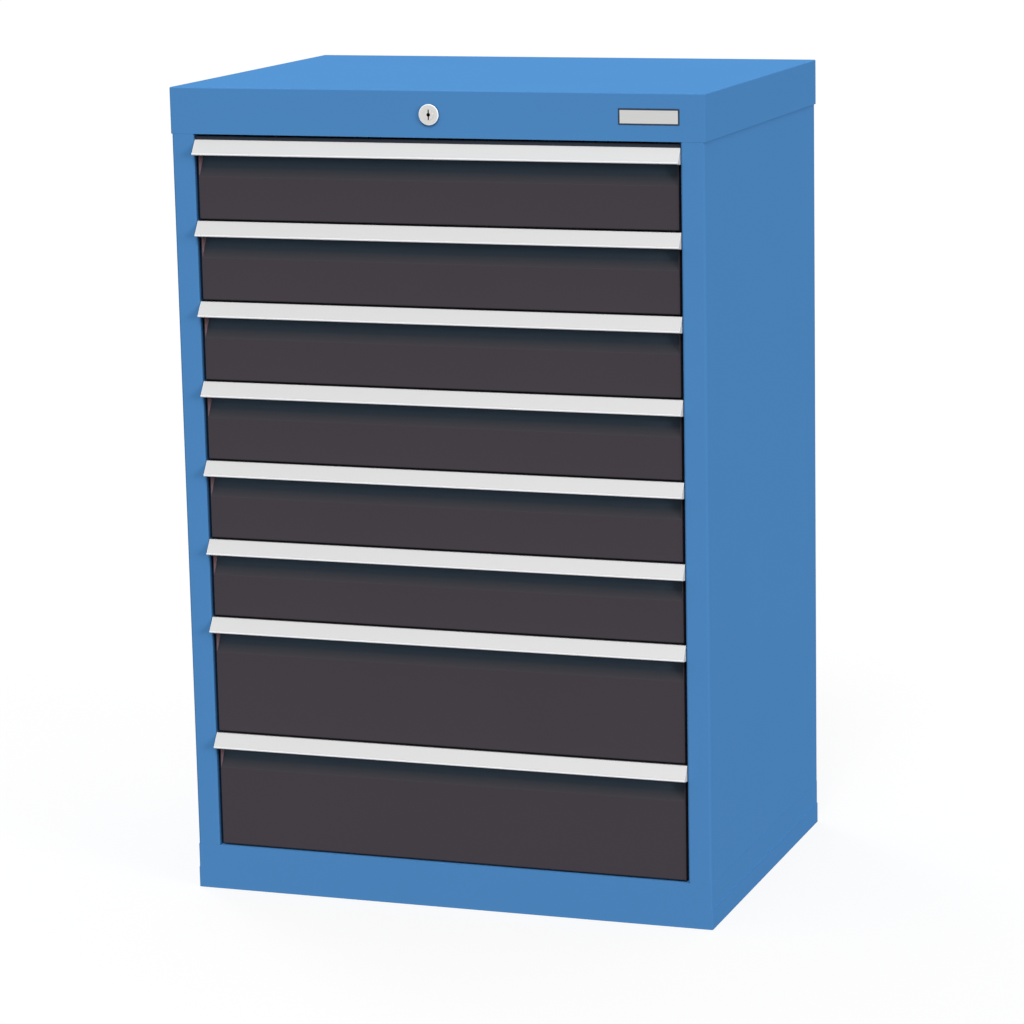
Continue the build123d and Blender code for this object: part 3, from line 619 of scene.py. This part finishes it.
class FinishHandles(bpy.types.Operator):
    """Gives the handle strips a matt anodised finish with fine lines along their length."""

    bl_idname = "cabinet.finish_handles"
    bl_label = "Finish the handle strips"

    def execute(self, context):
        colors = context.scene.cabinet_colors
        details = context.scene.cabinet_details
        along_strip = (6, 1800, 1800)
        low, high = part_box(f"{DRAWERS[0]}_handle")

        def marks(tree):
            # Painted light on the ends of the handle strips
            ends = beyond_ends(tree, high.x - details.cap_width / 2)
            # Painted highlight along the handle strip's lower edge
            lip_highlight = calculate(tree, "LESS_THAN", split_place(tree)["Y"], low.y + details.lip_width)
            return [(ends, colors.caps), (lip_highlight, colors.lip_highlight)]

        anodised = metal(
            "Anodised aluminium", colors.handles, details, lambda tree: stretched_place(tree, along_strip),
            roughness=0.64, contrast=0.06, metallic=0.5, make_marks=marks,
        )
        give(anodised, drawer_nodes("handle"))
        return {"FINISHED"}


class FinishSlides(bpy.types.Operator):
    """Zinc-plates the telescopic slides and the lock linkage."""

    bl_idname = "cabinet.finish_slides"
    bl_label = "Finish the slides"

    def execute(self, context):
        colors = context.scene.cabinet_colors
        details = context.scene.cabinet_details
        spangle = (420, 420, 420)
        zinc = metal(
            "Zinc plating", colors.zinc, details, lambda tree: stretched_place(tree, spangle),
            roughness=0.38, contrast=0.16,
        )
        nodes = drawer_nodes("runners") + drawer_nodes("middle_slides") + CABINET_RAIL_NODES + LINKAGE_NODES
        give(zinc, nodes)
        return {"FINISHED"}


class FinishLock(bpy.types.Operator):
    """Gives the cylinder lock a turned nickel face."""

    bl_idname = "cabinet.finish_lock"
    bl_label = "Finish the lock"

    def execute(self, context):
        colors = context.scene.cabinet_colors
        details = context.scene.cabinet_details
        low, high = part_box("lock_housing")
        centre = tuple((low + high) / 2)
        rim = (high.x - low.x) / 2 - details.lock_rim_highlight
        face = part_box("lock_core")[0].y + details.key_rim
        ring_scale = 3000
        side_facing = -0.35

        def collar_marks(tree):
            # Painted highlight on the rim round the lock's face
            painted_rim_highlight = calculate(tree, "GREATER_THAN", axis_distance(tree, centre), rim)
            # Painted shade on the side wall of the lock's collar
            wall = calculate(tree, "GREATER_THAN", split_normal(tree)["Y"], side_facing)
            return [(painted_rim_highlight, colors.lock_rim_highlight), (wall, colors.lock_wall_shade)]

        def core_marks(tree):
            # Painted shade inside the key hole, behind the lock's face
            return [(behind(tree, face), colors.key_hole_shade)]

        def turned(name, make_marks=no_marks):
            return metal(
                name, colors.nickel, details, lambda tree: turned_place(tree, centre, ring_scale),
                roughness=0.32, contrast=0.12, make_marks=make_marks,
            )

        give(turned("Turned nickel collar", collar_marks), ["lock_housing"])
        give(turned("Turned nickel"), ["lock_nut"])
        give(turned("Turned nickel core", core_marks), ["lock_core"])
        return {"FINISHED"}


class FinishPlate(bpy.types.Operator):
    """Gives the bare name plate and the rivets a brushed finish."""

    bl_idname = "cabinet.finish_plate"
    bl_label = "Finish the plate and the rivets"

    def execute(self, context):
        colors = context.scene.cabinet_colors
        details = context.scene.cabinet_details
        along_plate = (30, 2500, 2500)
        low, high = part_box("name_plate")

        def rim_shade_marks(tree):
            # Painted shadow along the name plate's edges
            return [(along_rim(tree, low, high, details.plate_rim_shade), colors.plate_rim_shade)]

        def brushed(name, make_marks=no_marks):
            return metal(
                name, colors.aluminium, details, lambda tree: stretched_place(tree, along_plate),
                roughness=0.4, contrast=0.14, make_marks=make_marks,
            )

        give(brushed("Brushed aluminium"), ["back_rivets"])
        give(brushed("Rimmed aluminium", rim_shade_marks), ["name_plate"])
        return {"FINISHED"}


def slot_lines(start, end, pitch, width):
    """Places of the cuts along one wall: its ends, and both edges of each slot, evenly about the middle."""
    count = int((end - start - pitch) / pitch)
    first = (start + end - (count - 1) * pitch) / 2
    lines = [start]
    for number in range(count):
        middle = first + number * pitch
        lines += [middle - width / 2, middle + width / 2]
    return lines + [end]


def is_slot(index):
    """Whether the stretch after this line is a slot."""
    return index % 2 == 1


def add_wall(mesh, corner, lines, heights, slotted):
    """Upright wall of a tray in strips between the lines, with its slots left open."""
    for step in range(len(lines) - 1):
        for level in range(len(heights) - 1):
            if slotted and is_slot(step) and is_slot(level):
                continue
            ends = (lines[step], lines[step + 1])
            low, high = heights[level], heights[level + 1]
            points = [(ends[0], low), (ends[1], low), (ends[1], high), (ends[0], high)]
            mesh.faces.new([mesh.verts.new(corner(along, height)) for along, height in points])


def fold_edges(mesh, low, high, tolerance):
    """Edges where the tray's floor and walls meet."""

    def planes(edge):
        middle = (edge.verts[0].co + edge.verts[1].co) / 2
        walls = [middle.x - low.x, high.x - middle.x, middle.y - low.y, high.y - middle.y, middle.z - low.z]
        return sum(abs(distance) < tolerance for distance in walls)

    return [edge for edge in mesh.edges if planes(edge) == 2]


def tray_shell(low, high, details):
    """Surface of a tray with divider slots in its side and back walls."""
    mesh = bmesh.new()
    side_lines = slot_lines(low.y, high.y, details.slot_pitch, details.slot_width)
    back_lines = slot_lines(low.x, high.x, details.slot_pitch, details.slot_width)
    heights = [low.z, low.z + details.slot_margin, high.z - details.slot_margin, high.z]
    add_wall(mesh, lambda along, height: (low.x, along, height), side_lines[::-1], heights, True)
    add_wall(mesh, lambda along, height: (high.x, along, height), side_lines, heights, True)
    add_wall(mesh, lambda along, height: (along, high.y, height), back_lines[::-1], heights, True)
    add_wall(mesh, lambda along, height: (along, low.y, height), back_lines, heights, False)
    outline = [(x, low.y) for x in back_lines] + [(high.x, y) for y in side_lines[1:]]
    outline += [(x, high.y) for x in back_lines[::-1][1:]] + [(low.x, y) for y in side_lines[::-1][1:-1]]
    mesh.faces.new([mesh.verts.new((x, y, low.z)) for x, y in outline[::-1]])
    tolerance = TRAY_SHEET / 100
    bmesh.ops.remove_doubles(mesh, verts=mesh.verts, dist=tolerance)
    folds = fold_edges(mesh, low, high, tolerance)
    bmesh.ops.bevel(mesh, geom=folds, offset=details.tray_bend, segments=3, profile=0.5, affect="EDGES")
    bmesh.ops.recalc_face_normals(mesh, faces=mesh.faces)
    return mesh


def hem_path(low, high, radius):
    """Points and outward directions round a tray's left, back and right walls, seen from above."""
    steps = 6
    path = [(Vector((low.x, low.y)), Vector((-1, 0)))]
    for centre, start in (
        (Vector((low.x + radius, high.y - radius)), math.pi),
        (Vector((high.x - radius, high.y - radius)), math.pi / 2),
    ):
        for step in range(steps + 1):
            angle = start - step / steps * math.pi / 2
            outward = Vector((math.cos(angle), math.sin(angle)))
            path.append((centre + outward * radius, outward))
    path.append((Vector((high.x, low.y)), Vector((1, 0))))
    return path


def hem_section(inner, outer):
    """Outward distance and depth below the rim of a folded hem's outline, with a round top."""
    steps = 6
    middle = (inner + outer) / 2
    radius = (outer - inner) / 2
    section = [(inner, TRAY_HEM)]
    for step in range(steps + 1):
        angle = math.pi - step / steps * math.pi
        section.append((middle + radius * math.cos(angle), radius - radius * math.sin(angle)))
    return section + [(outer, TRAY_HEM)]


def add_hem(mesh, low, high, rim, details):
    """Folded hem along the tray's rim, added to the mesh as a closed bar."""
    inner_proud = 0.02 * MILLIMETRE
    section = hem_section(-TRAY_SHEET - inner_proud, TRAY_SHEET)
    rings = []
    for point, outward in hem_path(low, high, details.tray_bend):
        ring = []
        for reach, depth in section:
            place = point + outward * reach
            ring.append(mesh.verts.new((place.x, place.y, rim - depth)))
        rings.append(ring)
    for before, after in zip(rings, rings[1:]):
        for index in range(len(section)):
            following = (index + 1) % len(section)
            mesh.faces.new([before[index], before[following], after[following], after[index]])
    mesh.faces.new(rings[0][::-1])
    mesh.faces.new(rings[-1])


def thicken(piece):
    """Turns a tray's surface into a closed sheet, inwards."""
    solidify = piece.modifiers.new("Sheet", "SOLIDIFY")
    solidify.thickness = TRAY_SHEET
    solidify.offset = -1
    solidify.use_even_offset = True
    with bpy.context.temp_override(object=piece, active_object=piece, selected_objects=[piece]):
        bpy.ops.object.modifier_apply(modifier=solidify.name)


class MakeTrays(bpy.types.Operator):
    """Makes the slotted drawer trays."""

    bl_idname = "cabinet.make_trays"
    bl_label = "Make the slotted trays"

    def execute(self, context):
        details = context.scene.cabinet_details
        coat = powder_coat(
            "Tray powder coat", context.scene.cabinet_colors.trays, details,
            roughness=0.5, mottle=0.06, specular=0.3,
        )
        for drawer in DRAWERS:
            low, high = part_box(f"{drawer}_tray")
            shell_low = low + Vector((TRAY_SHEET, 0, 0))
            shell_high = high - Vector((TRAY_SHEET, TRAY_SHEET, TRAY_HEM / 2))
            shell = tray_shell(shell_low, shell_high, details)
            tray = new_piece(context, f"{drawer}_slotted_tray", shell, coat)
            thicken(tray)
            self.hem(tray, shell_low, shell_high, high.z, details)
            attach(tray, drawer)
            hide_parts(f"{drawer}_tray")
        return {"FINISHED"}

    def hem(self, tray, low, high, rim, details):
        """Adds the hem to a tray that already has its thickness."""
        mesh = bmesh.new()
        mesh.from_mesh(tray.data)
        add_hem(mesh, low, high, rim, details)
        bmesh.ops.recalc_face_normals(mesh, faces=mesh.faces)
        mesh.to_mesh(tray.data)
        mesh.free()


def seen_rays(tree):
    """1 for the rays that see the background: from the camera, in gloss and through glass."""
    path = add(tree, "ShaderNodeLightPath").outputs
    either = calculate(tree, "MAXIMUM", path["Is Camera Ray"], path["Is Glossy Ray"])
    return calculate(tree, "MAXIMUM", either, path["Is Transmission Ray"])


def floor_material(studio):
    """Pale floor that holds the cabinet's shadow and looks white where light falls on it."""
    material, tree = new_material("Studio floor")
    shade = studio.floor_shade
    matt = add(tree, "ShaderNodeBsdfDiffuse", None, {"Color": (shade, shade, shade, 1)}).outputs[0]
    glow = add(tree, "ShaderNodeEmission", None, {"Strength": studio.floor_glow}).outputs[0]
    both = add(tree, "ShaderNodeAddShader", None, {0: matt, 1: glow}).outputs[0]
    surface = add(tree, "ShaderNodeMixShader", None, {0: seen_rays(tree), 1: matt, 2: both}).outputs[0]
    add(tree, "ShaderNodeOutputMaterial", None, {"Surface": surface})
    return material


def make_floor(context, studio):
    """Round floor under the cabinet."""
    sides = 96
    mesh = bmesh.new()
    bmesh.ops.create_circle(mesh, cap_ends=True, segments=sides, radius=studio.floor_radius)
    data = bpy.data.meshes.new("studio_floor")
    mesh.to_mesh(data)
    mesh.free()
    data.materials.append(floor_material(studio))
    floor = bpy.data.objects.new("studio_floor", data)
    context.scene.collection.objects.link(floor)


def make_world(context, studio):
    """White surroundings, dimmed where they light the cabinet."""
    world = bpy.data.worlds.new("Studio")
    world.use_nodes = True
    tree = world.node_tree
    tree.nodes.clear()

    def background(strength):
        inputs = {"Color": (1, 1, 1, 1), "Strength": strength}
        return add(tree, "ShaderNodeBackground", None, inputs).outputs[0]

    surroundings = {0: seen_rays(tree), 1: background(studio.world_level), 2: background(1.0)}
    both = add(tree, "ShaderNodeMixShader", None, surroundings).outputs[0]
    add(tree, "ShaderNodeOutputWorld", None, {"Surface": both})
    context.scene.world = world


def make_soft_light(context, name, direction, level, spread):
    """Wide soft lamp that shines evenly from one direction."""
    data = bpy.data.lights.new(name, "SUN")
    data.energy = level
    data.angle = spread
    lamp = bpy.data.objects.new(name, data)
    lamp.rotation_mode = "QUATERNION"
    lamp.rotation_quaternion = Vector(direction).to_track_quat("Z", "Y")
    context.scene.collection.objects.link(lamp)


def make_camera(context, studio):
    """Camera at the photograph's viewing angle."""
    sensor_width = 36
    farthest = 100
    data = bpy.data.cameras.new("Camera")
    data.lens = studio.camera_lens
    data.sensor_width = sensor_width
    data.shift_x, data.shift_y = studio.camera_shift
    data.clip_end = farthest
    camera = bpy.data.objects.new("Camera", data)
    place = Vector(studio.camera_place)
    level = (Vector(studio.camera_aim) - place).to_track_quat("-Z", "Y")
    camera.location = place
    camera.rotation_mode = "QUATERNION"
    camera.rotation_quaternion = level @ Quaternion((0, 0, 1), -studio.camera_roll)
    context.scene.collection.objects.link(camera)
    context.scene.camera = camera


class SetStage(bpy.types.Operator):
    """Makes the floor, the lights and the camera."""

    bl_idname = "cabinet.set_stage"
    bl_label = "Set the stage"

    def execute(self, context):
        studio = context.scene.cabinet_studio
        make_floor(context, studio)
        make_world(context, studio)
        make_soft_light(context, "Key", KEY_DIRECTION, studio.key_level, studio.key_spread)
        make_soft_light(context, "Side", SIDE_DIRECTION, studio.side_level, studio.fill_spread)
        make_soft_light(context, "Back", BACK_DIRECTION, studio.back_level, studio.fill_spread)
        make_camera(context, studio)
        context.scene.view_settings.view_transform = "Standard"
        return {"FINISHED"}


OPERATORS = (
    CoatHousing,
    CoatFronts,
    FinishHandles,
    FinishSlides,
    FinishLock,
    FinishPlate,
    MakeTrays,
    SetStage,
)
PROPERTY_GROUPS = {
    "cabinet_colors": CabinetColors,
    "cabinet_details": CabinetDetails,
    "cabinet_studio": CabinetStudio,
}


class CabinetPanel(bpy.types.Panel):
    """Lists the steps that finish the cabinet, and their colours and sizes."""

    bl_idname = "VIEW3D_PT_cabinet"
    bl_label = "Drawer cabinet"
    bl_space_type = "VIEW_3D"
    bl_region_type = "UI"
    bl_category = "Cabinet"

    def draw(self, context):
        for operator in OPERATORS:
            self.layout.operator(operator.bl_idname)
        for name, group in PROPERTY_GROUPS.items():
            box = self.layout.box()
            settings = getattr(context.scene, name)
            for setting in group.__annotations__:
                box.prop(settings, setting)


def register():
    for group in PROPERTY_GROUPS.values():
        bpy.utils.register_class(group)
    for name, group in PROPERTY_GROUPS.items():
        setattr(bpy.types.Scene, name, PointerProperty(type=group))
    for operator in OPERATORS:
        bpy.utils.register_class(operator)
    bpy.utils.register_class(CabinetPanel)


def unregister():
    bpy.utils.unregister_class(CabinetPanel)
    for operator in reversed(OPERATORS):
        bpy.utils.unregister_class(operator)
    for name in PROPERTY_GROUPS:
        delattr(bpy.types.Scene, name)
    for group in PROPERTY_GROUPS.values():
        bpy.utils.unregister_class(group)


def main():
    register()
    build_rounded_edge_group()
    build_powder_coat_group()
    build_metal_grain_group()
    bpy.ops.cabinet.coat_housing()
    bpy.ops.cabinet.coat_fronts()
    bpy.ops.cabinet.finish_handles()
    bpy.ops.cabinet.finish_slides()
    bpy.ops.cabinet.finish_lock()
    bpy.ops.cabinet.finish_plate()
    bpy.ops.cabinet.make_trays()
    bpy.ops.cabinet.set_stage()


if __name__ == "__main__":
    main()
